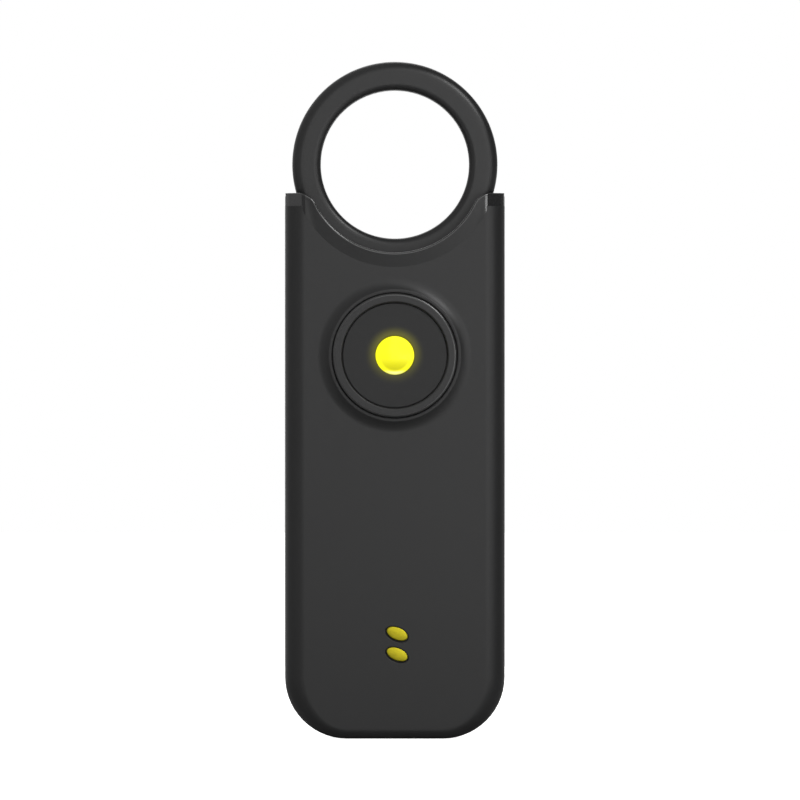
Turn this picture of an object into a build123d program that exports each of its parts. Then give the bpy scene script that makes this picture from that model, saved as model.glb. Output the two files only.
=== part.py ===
from build123d import *
import os
from math import sqrt

os.makedirs("parts", exist_ok=True)

# Millimetres. X runs across the case, Y from its face to its back, Z up along it.
# The case stands on Z = 0, and Y = 0 lies midway between the button's face and the back.

# Case
body_width = 32.0
body_height = 79.4
body_depth = 12.5
wall = 1.4
bottom_corner_radius = 9.0
side_rounding = 2.8
edge_rounding = 1.35
back_rounding = 1.6
notch_back_rounding = 0.6
overrun = 1.0

# Seam between the covers: a groove outside, and a tongue of the rear cover inside
seam_groove_width = 0.3
seam_groove_depth = 0.25
seam_tongue_length = 0.9
seam_clearance = 0.1

# Pull ring and its tongue
ring_side_inset = 1.0
ring_width = 4.2
ring_thickness = 5.4
ring_outer_rounding = 1.4
ring_inner_rounding = 1.0
ring_rise = 4.2
ring_clearance = 0.3
tongue_width = 8.0
tongue_thickness = 2.2
tongue_length = 9.0
tongue_chamfer = 0.5
gasket_wall = 0.8
gasket_flange = 0.9
gasket_grip = 0.03

# Lip along the notch and the horns
ring_cover = 1.9
lip_width = 1.9
lip_height = 0.28
notch_corner_radius = 2.0
lip_facet_width = 2.6
lip_facet_depth = 1.1
lip_edge_rounding = 0.3

# Button, its boss on the case and its travel
button_drop = 23.65
button_proud = 1.5
cap_radius = 9.0
cap_gap = 0.15
cap_rim = 1.35
cap_plate = 1.0
cap_skirt = 1.0
cap_rounding = 0.2
cap_rim_rounding = 0.15
flange_width = 1.1
flange_thickness = 0.8
boss_height = 0.55
boss_flare = 1.63
boss_lip = 0.47
boss_rounding = 0.15
insert_drop = 0.4
insert_thickness = 0.6
insert_gap = 0.08
press_rib_radius = 5.0
press_rib_width = 1.0
seat_gap = 0.05
button_travel = 0.4

# Lens and the light under it
lens_radius = 2.8
lens_dome = 0.36
lens_shoulder = 0.35
lens_stem_radius = 1.9
lens_gap = 0.05
led_width = 3.5
led_depth = 2.8
led_height = 1.3
led_gap = 0.1
led_window_radius = 1.1
led_window_depth = 0.3

# Circuit board
board_thickness = 1.0
board_to_seam = 1.75
board_gap = 1.2
board_roof_gap = 2.0
board_top_drop = 1.0

# Switches
button_switch_width = 4.0
button_switch_height = 0.9
button_plunger_radius = 0.9
button_plunger_rise = 0.45
button_plunger_inside = 0.3
trip_switch_width = 6.0
trip_switch_height = 4.8
trip_plunger_radius = 0.8
trip_plunger_rise = 1.3
trip_plunger_inside = 2.0
trip_bore_spare = 0.4

# Screws and their posts
screw_radius = 0.8
screw_head_radius = 1.5
screw_head_height = 1.0
screw_sink = 1.0
post_floor = 1.7
screw_tip_gap = 0.4
screw_head_gap = 0.2
shank_gap = 0.15
thread_gap = 0.02
recess_length = 1.8
recess_width = 0.4
recess_depth = 0.5
post_radius = 2.2
post_shelf = 0.8
post_gap = 0.3
low_post_inset = 5.4
low_post_rise = 6.0
high_post_inset = 2.6
high_post_drop = 11.9

# Charging contacts, their seal and the magnets
contact_x = 0.35
contact_rise = 13.8
contact_pitch = 3.0
contact_half_length = 1.62
contact_half_width = 0.93
contact_tilt = -23.0
contact_proud = 0.12
contact_hole_gap = 0.22
contact_hole_shift = 0.12
contact_pin_radius = 0.45
contact_fit = 0.02
seal_width = 6.0
seal_margin = 2.1
seal_thickness = 0.9
seal_sink = 0.3
magnet_radius = 2.0
magnet_board_gap = 0.7
magnet_gap = 0.4

# Battery
battery_width = 20.0
battery_board_gap = 1.8
battery_rounding = 1.0
battery_post_gap = 0.6
pad_thickness = 0.8
pad_margin = 2.0

# Sounder and its slots in the rear cover
sounder_radius = 11.8
sounder_drop = 35.6
sounder_wall = 1.2
sounder_seam_gap = 2.45
sounder_gap = 0.8
plate_thickness = 0.25
plate_inset = 0.4
ceramic_radius = 7.5
ceramic_thickness = 0.2
mesh_thickness = 0.15
mesh_gap = 0.2
slot_width = 1.1
slot_pitch = 2.4
slot_count = 7
grille_radius = 9.2

# Parts on the board
controller_size = 5.0
controller_height = 0.9
controller_drop = 17.75
charger_size = 3.0
charger_height = 0.8
charger_x = -6.0
charger_rise = 10.2
coil_radius = 2.6
coil_height = 2.8
coil_core_radius = 1.6
coil_cheek = 0.5
coil_side_gap = 3.0
coil_drop = 19.4
capacitor_length = 1.6
capacitor_width = 0.8
capacitor_height = 0.8
capacitor_pitch = 2.2
capacitor_count = 4
capacitor_x = 6.0

# Leads
lead_radius = 0.4
lead_bend = 1.0
lead_spacing = 3.0
battery_lead_inset = 0.9
battery_lead_rise = 2.6
sounder_lead_reach = 2.4
sounder_lead_x = 9.6
ceramic_lead_x = 5.0

# Depths and heights that the pieces share
front_y = button_proud - (body_depth + button_proud) / 2
back_y = front_y + body_depth
seam_y = front_y + body_depth / 2
inner_front_y = front_y + wall
inner_back_y = back_y - wall
half_width = body_width / 2

ring_outer_radius = half_width - ring_side_inset
ring_inner_radius = ring_outer_radius - ring_width
ring_z = body_height + ring_rise
notch_radius = ring_outer_radius - ring_cover
lip_radius = notch_radius + lip_width
lip_front_y = front_y - lip_height
slot_radius = ring_outer_radius + ring_clearance
slot_half_depth = ring_thickness / 2 + ring_clearance
roof_radius = slot_radius + wall
tongue_end_z = ring_z - ring_outer_radius - tongue_length
gasket_half_width = tongue_width / 2 + gasket_wall
gasket_half_depth = tongue_thickness / 2 + gasket_wall

button_z = body_height - button_drop
cap_front_y = front_y - button_proud
hole_radius = cap_radius + cap_gap
boss_radius = hole_radius + boss_lip
boss_foot_radius = boss_radius + boss_flare
boss_front_y = front_y - boss_height
insert_front_y = cap_front_y + insert_drop
plate_front_y = insert_front_y + insert_thickness
plate_back_y = plate_front_y + cap_plate
flange_front_y = inner_front_y + seat_gap
flange_back_y = flange_front_y + flange_thickness

board_back_y = seam_y - board_to_seam
board_front_y = board_back_y - board_thickness
button_plunger_y = board_front_y - button_switch_height - button_plunger_rise
lens_back_y = board_front_y - led_height - led_gap - button_travel

low_post_x = half_width - wall - low_post_inset
low_post_z = wall + low_post_rise
high_post_x = half_width - wall - high_post_inset
high_post_z = body_height - high_post_drop
post_places = [
    (-low_post_x, low_post_z),
    (low_post_x, low_post_z),
    (-high_post_x, high_post_z),
    (high_post_x, high_post_z),
]
shelf_radius = post_radius + post_shelf
screw_seat_y = back_y - screw_sink - screw_head_height
screw_tip_y = inner_front_y + post_floor
seam_tongue_top = high_post_z - shelf_radius - post_gap

contact_heights = (contact_rise + contact_pitch / 2, contact_rise - contact_pitch / 2)
seal_back_y = inner_front_y + seal_thickness
seal_length = contact_pitch + 2 * seal_margin
magnet_reach = seal_length / 2 + magnet_gap + magnet_radius

sounder_z = body_height - sounder_drop
sounder_front_y = seam_y + sounder_seam_gap
battery_bottom_z = low_post_z + post_radius + battery_post_gap
battery_top_z = sounder_z - sounder_radius - sounder_gap
battery_back_y = inner_back_y - pad_thickness
battery_front_y = board_back_y + battery_board_gap
ceramic_front_y = sounder_front_y - plate_thickness - ceramic_thickness

controller_z = button_z - controller_drop
charger_z = contact_rise + charger_rise
coil_x = wall + coil_side_gap + coil_radius - half_width
coil_z = body_height - coil_drop


def depth_plane(y):
    """The plane parallel to the face at depth y. What is extruded from it grows towards the face."""
    return Plane.XZ.offset(-y)


def about_button():
    """The axis of the button and of all that is round about it."""
    return Axis((0, 0, button_z), (0, 1, 0))


def case_outline(inset):
    """The case from the front, drawn inset, square at the top and round at its lower corners."""
    with BuildSketch() as outline:
        with Locations((0, (inset + body_height) / 2)):
            Rectangle(body_width - 2 * inset, body_height - inset)
        fillet(outline.vertices().group_by(Axis.Y)[0], bottom_corner_radius - inset)
    return outline.sketch


def notched_outline():
    """The case from the front with the notch for the ring and the rounded corners beside it."""
    with BuildSketch() as outline:
        add(case_outline(0))
        with Locations((0, ring_z)):
            Circle(notch_radius, mode=Mode.SUBTRACT)
        top_points = outline.vertices().group_by(Axis.Y)[-1].sort_by(Axis.X)
        fillet(top_points[1:3], notch_corner_radius)
    return outline.sketch


def hollow_outline():
    """The inside of the case from the front, under the curved roof that the ring stands on."""
    with BuildSketch() as outline:
        add(case_outline(wall))
        with Locations((0, ring_z)):
            Circle(roof_radius, mode=Mode.SUBTRACT)
    return outline.sketch


def contact_oval(height, growth):
    """One slanted oval of the charging contacts, grown by the same amount all round."""
    with BuildSketch() as oval:
        with Locations(Location((contact_x, height, 0), (0, 0, contact_tilt))):
            Ellipse(contact_half_length + growth, contact_half_width + growth)
    return oval.sketch


# Lip: its front rises towards the notch and the top edge, and its sides fall away less than the case's
with BuildPart() as lip:
    with BuildSketch(Plane.XY.offset(ring_z)):
        with BuildLine():
            Polyline(
                (lip_radius, front_y),
                (notch_radius, lip_front_y),
                (notch_radius, seam_y),
                (lip_radius, seam_y),
                close=True,
            )
        make_face()
    revolve(axis=Axis((0, 0, ring_z), (0, 1, 0)))
    with BuildSketch(Plane.YZ.offset(-half_width)):
        with BuildLine():
            Polyline(
                (front_y, body_height - lip_width),
                (lip_front_y, body_height),
                (seam_y, body_height),
                (seam_y, body_height - lip_width),
                close=True,
            )
        make_face()
    extrude(amount=body_width)
    with BuildSketch(Plane.XY) as facets:
        with BuildLine():
            Polyline(
                (-half_width, seam_y),
                (-half_width, lip_front_y + lip_facet_depth),
                (lip_facet_width - half_width, lip_front_y),
                (half_width - lip_facet_width, lip_front_y),
                (half_width, lip_front_y + lip_facet_depth),
                (half_width, seam_y),
                close=True,
            )
        make_face()
        fillet(facets.vertices().group_by(Axis.Y)[:-1], lip_edge_rounding)
    extrude(amount=ring_z, mode=Mode.INTERSECT)
    with BuildSketch(depth_plane(seam_y)):
        add(notched_outline())
    extrude(amount=seam_y - lip_front_y + overrun, mode=Mode.INTERSECT)

# Front cover: a block with its lower edges rounded, its long sides rounded further, and the lip
with BuildPart() as front_cover:
    with BuildSketch(depth_plane(seam_y)):
        add(case_outline(0))
    extrude(amount=seam_y - front_y)
    face_edges = front_cover.edges().group_by(Axis.Y)[0].sort_by(Axis.Z)
    fillet(face_edges[:-1], edge_rounding)
    with BuildSketch(Plane.XY) as cross_section:
        with Locations((0, (front_y + seam_y) / 2)):
            Rectangle(body_width, seam_y - front_y)
        fillet(cross_section.vertices().group_by(Axis.Y)[0], side_rounding)
    extrude(amount=body_height, mode=Mode.INTERSECT)
    with BuildSketch(depth_plane(seam_y)):
        add(notched_outline())
    extrude(amount=seam_y - front_y + overrun, mode=Mode.INTERSECT)
    add(lip.part)

    # Flared boss round the button's hole
    with BuildSketch(depth_plane(seam_y)):
        with Locations((0, button_z)):
            Circle(hole_radius + boss_lip / 2)
    extrude(amount=seam_y - front_y + overrun, mode=Mode.SUBTRACT)
    with BuildSketch(Plane.XY.offset(button_z)) as boss_section:
        with BuildLine():
            TangentArc((boss_foot_radius, front_y), (boss_radius, boss_front_y), tangent=(-1, 0))
            Polyline(
                (boss_radius, boss_front_y),
                (hole_radius, boss_front_y),
                (hole_radius, inner_front_y),
                (boss_foot_radius, inner_front_y),
                (boss_foot_radius, front_y),
            )
        make_face()
        fillet(boss_section.vertices().group_by(Axis.Y)[0], boss_rounding)
    revolve(axis=about_button())

    # Inside, ring slot and tongue opening
    with BuildSketch(depth_plane(seam_y)):
        add(hollow_outline())
    extrude(amount=seam_y - inner_front_y, mode=Mode.SUBTRACT)
    with BuildSketch(depth_plane(seam_y)):
        with Locations((0, ring_z)):
            Circle(slot_radius)
    extrude(amount=slot_half_depth, mode=Mode.SUBTRACT)
    with BuildSketch(depth_plane(seam_y)):
        with Locations((0, ring_z - (slot_radius + roof_radius) / 2)):
            Rectangle(2 * gasket_half_width, wall + 2 * overrun)
    extrude(amount=gasket_half_depth, mode=Mode.SUBTRACT)

    # Holes of the charging contacts, set a little low and left of the contacts
    with BuildSketch(depth_plane(inner_front_y + overrun)):
        with Locations((-contact_hole_shift, -contact_hole_shift)):
            for contact_height in contact_heights:
                add(contact_oval(contact_height, contact_hole_gap))
    extrude(amount=wall + 2 * overrun, mode=Mode.SUBTRACT)

    # Screw posts with a shelf that carries the circuit board
    with BuildSketch(depth_plane(board_front_y)):
        with Locations(post_places):
            Circle(shelf_radius)
    extrude(amount=board_front_y - inner_front_y)
    with BuildSketch(depth_plane(seam_y)):
        with Locations(post_places):
            Circle(post_radius)
    extrude(amount=seam_y - inner_front_y)
    with BuildSketch(depth_plane(seam_y)):
        with Locations(post_places):
            Circle(screw_radius + thread_gap)
    extrude(amount=seam_y - screw_tip_y + screw_tip_gap, mode=Mode.SUBTRACT)

    # Rebate for the rear cover's tongue
    with BuildSketch(depth_plane(seam_y)):
        add(case_outline(wall / 2))
        add(case_outline(wall), mode=Mode.SUBTRACT)
        with Locations((0, seam_tongue_top / 2)):
            Rectangle(body_width, seam_tongue_top, mode=Mode.INTERSECT)
    extrude(amount=seam_tongue_length + seam_clearance, mode=Mode.SUBTRACT)
front_cover.part.label = "front_cover"
export_step(front_cover.part, "parts/front_cover.step")

# Rear cover
with BuildPart() as rear_cover:
    with BuildSketch(depth_plane(seam_y)):
        add(case_outline(0))
    extrude(amount=seam_y - back_y)
    back_edges = rear_cover.edges().group_by(Axis.Y)[-1].sort_by(Axis.Z)
    fillet(back_edges[:-1], back_rounding)
    with BuildSketch(depth_plane(back_y + overrun)):
        add(notched_outline())
    extrude(amount=body_depth + overrun, mode=Mode.INTERSECT)
    back_levels = rear_cover.edges().group_by(Axis.Y)[-1].group_by(Axis.Z)
    fillet([edge for level in back_levels[-3:] for edge in level], notch_back_rounding)
    with BuildSketch(depth_plane(seam_y)):
        add(hollow_outline())
    extrude(amount=seam_y - inner_back_y, mode=Mode.SUBTRACT)
    with BuildSketch(depth_plane(seam_y)):
        with Locations((0, ring_z)):
            Circle(slot_radius)
    extrude(amount=-slot_half_depth, mode=Mode.SUBTRACT)
    with BuildSketch(depth_plane(seam_y)):
        with Locations((0, ring_z - (slot_radius + roof_radius) / 2)):
            Rectangle(2 * gasket_half_width, wall + 2 * overrun)
    extrude(amount=-gasket_half_depth, mode=Mode.SUBTRACT)

    # Screw posts, with each head sunk into the back
    with BuildSketch(depth_plane(seam_y)):
        with Locations(post_places):
            Circle(post_radius)
    extrude(amount=seam_y - inner_back_y)
    post_mouths = [Plane((x, back_y, z), x_dir=(1, 0, 0), z_dir=(0, 1, 0)) for x, z in post_places]
    with Locations(*post_mouths):
        CounterBoreHole(
            radius=screw_radius + shank_gap,
            counter_bore_radius=screw_head_radius + screw_head_gap,
            counter_bore_depth=screw_sink + screw_head_height,
        )

    # Sound slots, each as long as the round grille is wide at its height
    slot_heights = [slot_pitch * (row - (slot_count - 1) / 2) for row in range(slot_count)]
    with BuildSketch(depth_plane(back_y + overrun)):
        for height in slot_heights:
            with Locations((0, sounder_z + height)):
                SlotOverall(2 * sqrt(grille_radius**2 - height**2), slot_width)
    extrude(amount=wall + 2 * overrun, mode=Mode.SUBTRACT)

    # Groove along the seam, and the tongue that lines the covers up
    with BuildSketch(depth_plane(seam_y)):
        add(case_outline(0))
        add(case_outline(seam_groove_depth), mode=Mode.SUBTRACT)
    extrude(amount=-seam_groove_width, mode=Mode.SUBTRACT)
    with BuildSketch(depth_plane(seam_y)):
        add(case_outline(wall / 2 + seam_clearance))
        add(case_outline(wall), mode=Mode.SUBTRACT)
        with Locations((0, (seam_tongue_top - seam_clearance) / 2)):
            Rectangle(body_width, seam_tongue_top - seam_clearance, mode=Mode.INTERSECT)
    extrude(amount=seam_tongue_length)
rear_cover.part.label = "rear_cover"
export_step(rear_cover.part, "parts/rear_cover.step")

# Pull ring, with the tongue that reaches down into the case
with BuildPart() as pull_ring:
    with BuildSketch(Plane.XY.offset(ring_z)) as ring_section:
        with Locations(((ring_inner_radius + ring_outer_radius) / 2, seam_y)):
            Rectangle(ring_outer_radius - ring_inner_radius, ring_thickness)
        fillet(ring_section.vertices().group_by(Axis.X)[-1], ring_outer_rounding)
        fillet(ring_section.vertices().group_by(Axis.X)[0], ring_inner_rounding)
    revolve(axis=Axis((0, 0, ring_z), (0, 1, 0)))
    tongue_root_z = ring_z - (ring_inner_radius + ring_outer_radius) / 2
    with BuildSketch(depth_plane(seam_y + tongue_thickness / 2)):
        with Locations((0, (tongue_root_z + tongue_end_z) / 2)):
            Rectangle(tongue_width, tongue_root_z - tongue_end_z)
    extrude(amount=tongue_thickness)
    chamfer(pull_ring.faces().sort_by(Axis.Z)[0].edges(), tongue_chamfer)
pull_ring.part.label = "pull_ring"
export_step(pull_ring.part, "parts/pull_ring.step")

# Gasket that lines the tongue's opening and grips the tongue
with BuildPart() as tongue_gasket:
    flange_z = ring_z - roof_radius - gasket_flange
    with BuildSketch(Plane.XY.offset(flange_z)):
        with Locations((0, seam_y)):
            Rectangle(2 * (gasket_half_width + gasket_flange), 2 * gasket_half_depth)
    extrude(amount=gasket_flange + wall)
    with BuildSketch(depth_plane(back_y)):
        with Locations((0, ring_z)):
            Circle(roof_radius)
    extrude(amount=body_depth, mode=Mode.SUBTRACT)
    with BuildSketch(Plane.XY.offset(flange_z)):
        with Locations((0, seam_y)):
            Rectangle(2 * gasket_half_width, 2 * gasket_half_depth)
    extrude(amount=gasket_flange + 2 * wall)
    with BuildSketch(depth_plane(back_y)):
        with Locations((0, ring_z)):
            Circle(slot_radius)
    extrude(amount=body_depth, mode=Mode.SUBTRACT)
    with BuildSketch(Plane.XY.offset(flange_z)):
        with Locations((0, seam_y)):
            Rectangle(tongue_width + 2 * gasket_grip, tongue_thickness + 2 * gasket_grip)
    extrude(amount=gasket_flange + 2 * wall, mode=Mode.SUBTRACT)
tongue_gasket.part.label = "tongue_gasket"
export_step(tongue_gasket.part, "parts/tongue_gasket.step")

# Button cap: rim, plate, skirt with a flange behind the case wall, and a round press rib
with BuildPart() as button_cap:
    recess_radius = cap_radius - cap_rim
    stem_hole_radius = lens_stem_radius + lens_gap
    with BuildSketch(Plane.XY.offset(button_z)) as cap_section:
        with BuildLine():
            Polyline(
                (stem_hole_radius, plate_front_y),
                (recess_radius, plate_front_y),
                (recess_radius, cap_front_y),
                (cap_radius, cap_front_y),
                (cap_radius, flange_front_y),
                (cap_radius + flange_width, flange_front_y),
                (cap_radius + flange_width, flange_back_y),
                (cap_radius - cap_skirt, flange_back_y),
                (cap_radius - cap_skirt, plate_back_y),
                (stem_hole_radius, plate_back_y),
                close=True,
            )
        make_face()
        rim_points = cap_section.vertices().group_by(Axis.Y)[0].sort_by(Axis.X)
        fillet(rim_points[-1], cap_rounding)
        fillet(cap_section.vertices().group_by(Axis.Y)[0].sort_by(Axis.X)[0], cap_rim_rounding)
        rib_back_y = button_plunger_y - seat_gap
        with Locations((press_rib_radius, (plate_back_y + rib_back_y) / 2)):
            Rectangle(press_rib_width, rib_back_y - plate_back_y)
    revolve(axis=about_button())
button_cap.part.label = "button_cap"
export_step(button_cap.part, "parts/button_cap.step")

# Disc set into the cap
with BuildPart() as button_insert:
    with BuildSketch(Plane.XY.offset(button_z)) as insert_section:
        insert_inner = lens_radius + lens_gap
        insert_outer = cap_radius - cap_rim - insert_gap
        with Locations(((insert_inner + insert_outer) / 2, (insert_front_y + plate_front_y) / 2)):
            Rectangle(insert_outer - insert_inner, insert_thickness)
        fillet(insert_section.vertices().group_by(Axis.Y)[0], cap_rim_rounding)
    revolve(axis=about_button())
button_insert.part.label = "button_insert"
export_step(button_insert.part, "parts/button_insert.step")

# Lens: a domed head on the cap's plate, and a stem that leads the light up to it
with BuildPart() as led_lens:
    dome_radius = lens_radius - lens_shoulder
    dome_edge_y = insert_front_y - lens_gap
    with BuildSketch(Plane.XY.offset(button_z)):
        with BuildLine():
            ThreePointArc(
                (0, insert_front_y - lens_dome),
                (dome_radius / 2, dome_edge_y - (lens_dome - lens_gap) * 3 / 4),
                (dome_radius, dome_edge_y),
            )
            Polyline(
                (dome_radius, dome_edge_y),
                (lens_radius, insert_front_y + lens_gap),
                (lens_radius, plate_front_y),
                (lens_stem_radius, plate_front_y),
                (lens_stem_radius, lens_back_y),
                (0, lens_back_y),
                (0, insert_front_y - lens_dome),
            )
        make_face()
    revolve(axis=about_button())
led_lens.part.label = "led_lens"
export_step(led_lens.part, "parts/led_lens.step")

# Circuit board: follows the case's inside, and goes round the screw posts
with BuildPart() as circuit_board:
    board_top_z = high_post_z - board_top_drop
    with BuildSketch(depth_plane(board_back_y)):
        add(case_outline(wall + board_gap))
        with Locations((0, board_top_z / 2)):
            Rectangle(body_width, board_top_z, mode=Mode.INTERSECT)
        with Locations((0, ring_z)):
            Circle(roof_radius + board_roof_gap, mode=Mode.SUBTRACT)
        with Locations(post_places):
            Circle(post_radius + post_gap, mode=Mode.SUBTRACT)
    extrude(amount=board_thickness)
circuit_board.part.label = "circuit_board"
export_step(circuit_board.part, "parts/circuit_board.step")

# Light under the lens, with its window
with BuildPart() as led_chip:
    with BuildSketch(depth_plane(board_front_y)):
        with Locations((0, button_z)):
            Rectangle(led_width, led_depth)
    extrude(amount=led_height)
    with BuildSketch(depth_plane(board_front_y - led_height)):
        with Locations((0, button_z)):
            Circle(led_window_radius)
    extrude(amount=-led_window_depth, mode=Mode.SUBTRACT)
led_chip.part.label = "led_chip"
export_step(led_chip.part, "parts/led_chip.step")

# Button switch under the press rib, and its plunger
button_switch_z = button_z - press_rib_radius
with BuildPart() as button_switch:
    with BuildSketch(depth_plane(board_front_y)):
        with Locations((0, button_switch_z)):
            Rectangle(button_switch_width, button_switch_width)
    extrude(amount=button_switch_height)
    switch_mouth_y = board_front_y - button_switch_height
    with BuildSketch(depth_plane(switch_mouth_y)):
        with Locations((0, button_switch_z)):
            Circle(button_plunger_radius + seat_gap)
    extrude(amount=-(button_plunger_inside + button_travel + seat_gap), mode=Mode.SUBTRACT)
button_switch.part.label = "button_switch"
export_step(button_switch.part, "parts/button_switch.step")

with BuildPart() as button_switch_plunger:
    with BuildSketch(depth_plane(switch_mouth_y + button_plunger_inside)):
        with Locations((0, button_switch_z)):
            Circle(button_plunger_radius)
    extrude(amount=button_plunger_inside + button_plunger_rise)
button_switch_plunger.part.label = "button_switch_plunger"
export_step(button_switch_plunger.part, "parts/button_switch_plunger.step")

# Trip switch under the ring's tongue, and its plunger
trip_top_z = tongue_end_z - seat_gap - trip_plunger_rise
trip_depth = 2 * board_to_seam
with BuildPart() as trip_switch:
    with BuildSketch(Plane.XY.offset(trip_top_z)):
        with Locations((0, seam_y)):
            Rectangle(trip_switch_width, trip_depth)
    extrude(amount=-trip_switch_height)
    with BuildSketch(Plane.XY.offset(trip_top_z)):
        with Locations((0, seam_y)):
            Circle(trip_plunger_radius + seat_gap)
    extrude(amount=-(trip_plunger_inside + trip_bore_spare), mode=Mode.SUBTRACT)
trip_switch.part.label = "trip_switch"
export_step(trip_switch.part, "parts/trip_switch.step")

with BuildPart() as trip_switch_plunger:
    with BuildSketch(Plane.XY.offset(trip_top_z - trip_plunger_inside)):
        with Locations((0, seam_y)):
            Circle(trip_plunger_radius)
    extrude(amount=trip_plunger_inside + trip_plunger_rise)
trip_switch_plunger.part.label = "trip_switch_plunger"
export_step(trip_switch_plunger.part, "parts/trip_switch_plunger.step")

# Charging contacts: an oval pad through the seal and a pin to the board
with BuildPart() as upper_charging_contact:
    with BuildSketch(depth_plane(seal_back_y)):
        add(contact_oval(contact_heights[0], 0))
    extrude(amount=seal_back_y - front_y + contact_proud)
    with BuildSketch(depth_plane(board_front_y)):
        with Locations((contact_x, contact_heights[0])):
            Circle(contact_pin_radius)
    extrude(amount=board_front_y - seal_back_y)
upper_charging_contact.part.label = "upper_charging_contact"
export_step(upper_charging_contact.part, "parts/upper_charging_contact.step")

with BuildPart() as lower_charging_contact:
    with BuildSketch(depth_plane(seal_back_y)):
        add(contact_oval(contact_heights[1], 0))
    extrude(amount=seal_back_y - front_y + contact_proud)
    with BuildSketch(depth_plane(board_front_y)):
        with Locations((contact_x, contact_heights[1])):
            Circle(contact_pin_radius)
    extrude(amount=board_front_y - seal_back_y)
lower_charging_contact.part.label = "lower_charging_contact"
export_step(lower_charging_contact.part, "parts/lower_charging_contact.step")

# Seal behind the face, with an oval neck in each contact hole
with BuildPart() as contact_seal:
    with BuildSketch(depth_plane(seal_back_y)):
        with Locations((contact_x, contact_rise)):
            Rectangle(seal_width, seal_length)
    extrude(amount=seal_thickness)
    with BuildSketch(depth_plane(inner_front_y)):
        with Locations((-contact_hole_shift, -contact_hole_shift)):
            for contact_height in contact_heights:
                add(contact_oval(contact_height, contact_hole_gap - contact_fit))
    extrude(amount=wall - seal_sink)
    with BuildSketch(depth_plane(seal_back_y)):
        for contact_height in contact_heights:
            add(contact_oval(contact_height, contact_fit))
    extrude(amount=seal_thickness + wall, mode=Mode.SUBTRACT)
contact_seal.part.label = "contact_seal"
export_step(contact_seal.part, "parts/contact_seal.step")

# Magnets above and below the seal, glued behind the face
with BuildPart() as charger_magnets:
    magnet_back_y = board_front_y - magnet_board_gap
    with BuildSketch(depth_plane(magnet_back_y)):
        with Locations(
            (contact_x, contact_rise + magnet_reach), (contact_x, contact_rise - magnet_reach)
        ):
            Circle(magnet_radius)
    extrude(amount=magnet_back_y - inner_front_y)
charger_magnets.part.label = "charger_magnets"
export_step(charger_magnets.part, "parts/charger_magnets.step")

# Parts on the front of the board
with BuildPart() as controller_chip:
    with BuildSketch(depth_plane(board_front_y)):
        with Locations((0, controller_z)):
            Rectangle(controller_size, controller_size)
    extrude(amount=controller_height)
controller_chip.part.label = "controller_chip"
export_step(controller_chip.part, "parts/controller_chip.step")

with BuildPart() as charger_chip:
    with BuildSketch(depth_plane(board_front_y)):
        with Locations((charger_x, charger_z)):
            Rectangle(charger_size, charger_size)
    extrude(amount=charger_height)
charger_chip.part.label = "charger_chip"
export_step(charger_chip.part, "parts/charger_chip.step")

with BuildPart() as capacitors:
    with BuildSketch(depth_plane(board_front_y)):
        with Locations((capacitor_x, charger_z)):
            with GridLocations(capacitor_pitch, capacitor_pitch, 1, capacitor_count):
                Rectangle(capacitor_length, capacitor_width)
    extrude(amount=capacitor_height)
capacitors.part.label = "capacitors"
export_step(capacitors.part, "parts/capacitors.step")

# Step-up coil on the back of the board: a drum with two cheeks
with BuildPart() as step_up_coil:
    with BuildSketch(depth_plane(board_back_y)):
        with Locations((coil_x, coil_z)):
            Circle(coil_radius)
    extrude(amount=-coil_cheek)
    with BuildSketch(depth_plane(board_back_y)):
        with Locations((coil_x, coil_z)):
            Circle(coil_core_radius)
    extrude(amount=-coil_height)
    with BuildSketch(depth_plane(board_back_y + coil_height - coil_cheek)):
        with Locations((coil_x, coil_z)):
            Circle(coil_radius)
    extrude(amount=-coil_cheek)
step_up_coil.part.label = "step_up_coil"
export_step(step_up_coil.part, "parts/step_up_coil.step")

# Battery and the foam pad that holds it to the rear cover
with BuildPart() as battery:
    with BuildSketch(depth_plane(battery_back_y)):
        with Locations((0, (battery_bottom_z + battery_top_z) / 2)):
            Rectangle(battery_width, battery_top_z - battery_bottom_z)
    extrude(amount=battery_back_y - battery_front_y)
    fillet(battery.edges().filter_by(Axis.Z), battery_rounding)
battery.part.label = "battery"
export_step(battery.part, "parts/battery.step")

with BuildPart() as battery_pad:
    with BuildSketch(depth_plane(inner_back_y)):
        with Locations((0, (battery_bottom_z + battery_top_z) / 2)):
            Rectangle(battery_width - 2 * pad_margin, battery_top_z - battery_bottom_z - 2 * pad_margin)
    extrude(amount=pad_thickness)
battery_pad.part.label = "battery_pad"
export_step(battery_pad.part, "parts/battery_pad.step")

# Sounder: a ring that makes the sound chamber, a brass plate with its ceramic disc, and a dust mesh
with BuildPart() as sounder_ring:
    with BuildSketch(depth_plane(inner_back_y)):
        with Locations((0, sounder_z)):
            Circle(sounder_radius)
            Circle(sounder_radius - sounder_wall, mode=Mode.SUBTRACT)
    extrude(amount=inner_back_y - sounder_front_y)
sounder_ring.part.label = "sounder_ring"
export_step(sounder_ring.part, "parts/sounder_ring.step")

with BuildPart() as piezo_plate:
    with BuildSketch(depth_plane(sounder_front_y)):
        with Locations((0, sounder_z)):
            Circle(sounder_radius - plate_inset)
    extrude(amount=plate_thickness)
piezo_plate.part.label = "piezo_plate"
export_step(piezo_plate.part, "parts/piezo_plate.step")

with BuildPart() as piezo_ceramic:
    with BuildSketch(depth_plane(sounder_front_y - plate_thickness)):
        with Locations((0, sounder_z)):
            Circle(ceramic_radius)
    extrude(amount=ceramic_thickness)
piezo_ceramic.part.label = "piezo_ceramic"
export_step(piezo_ceramic.part, "parts/piezo_ceramic.step")

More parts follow.
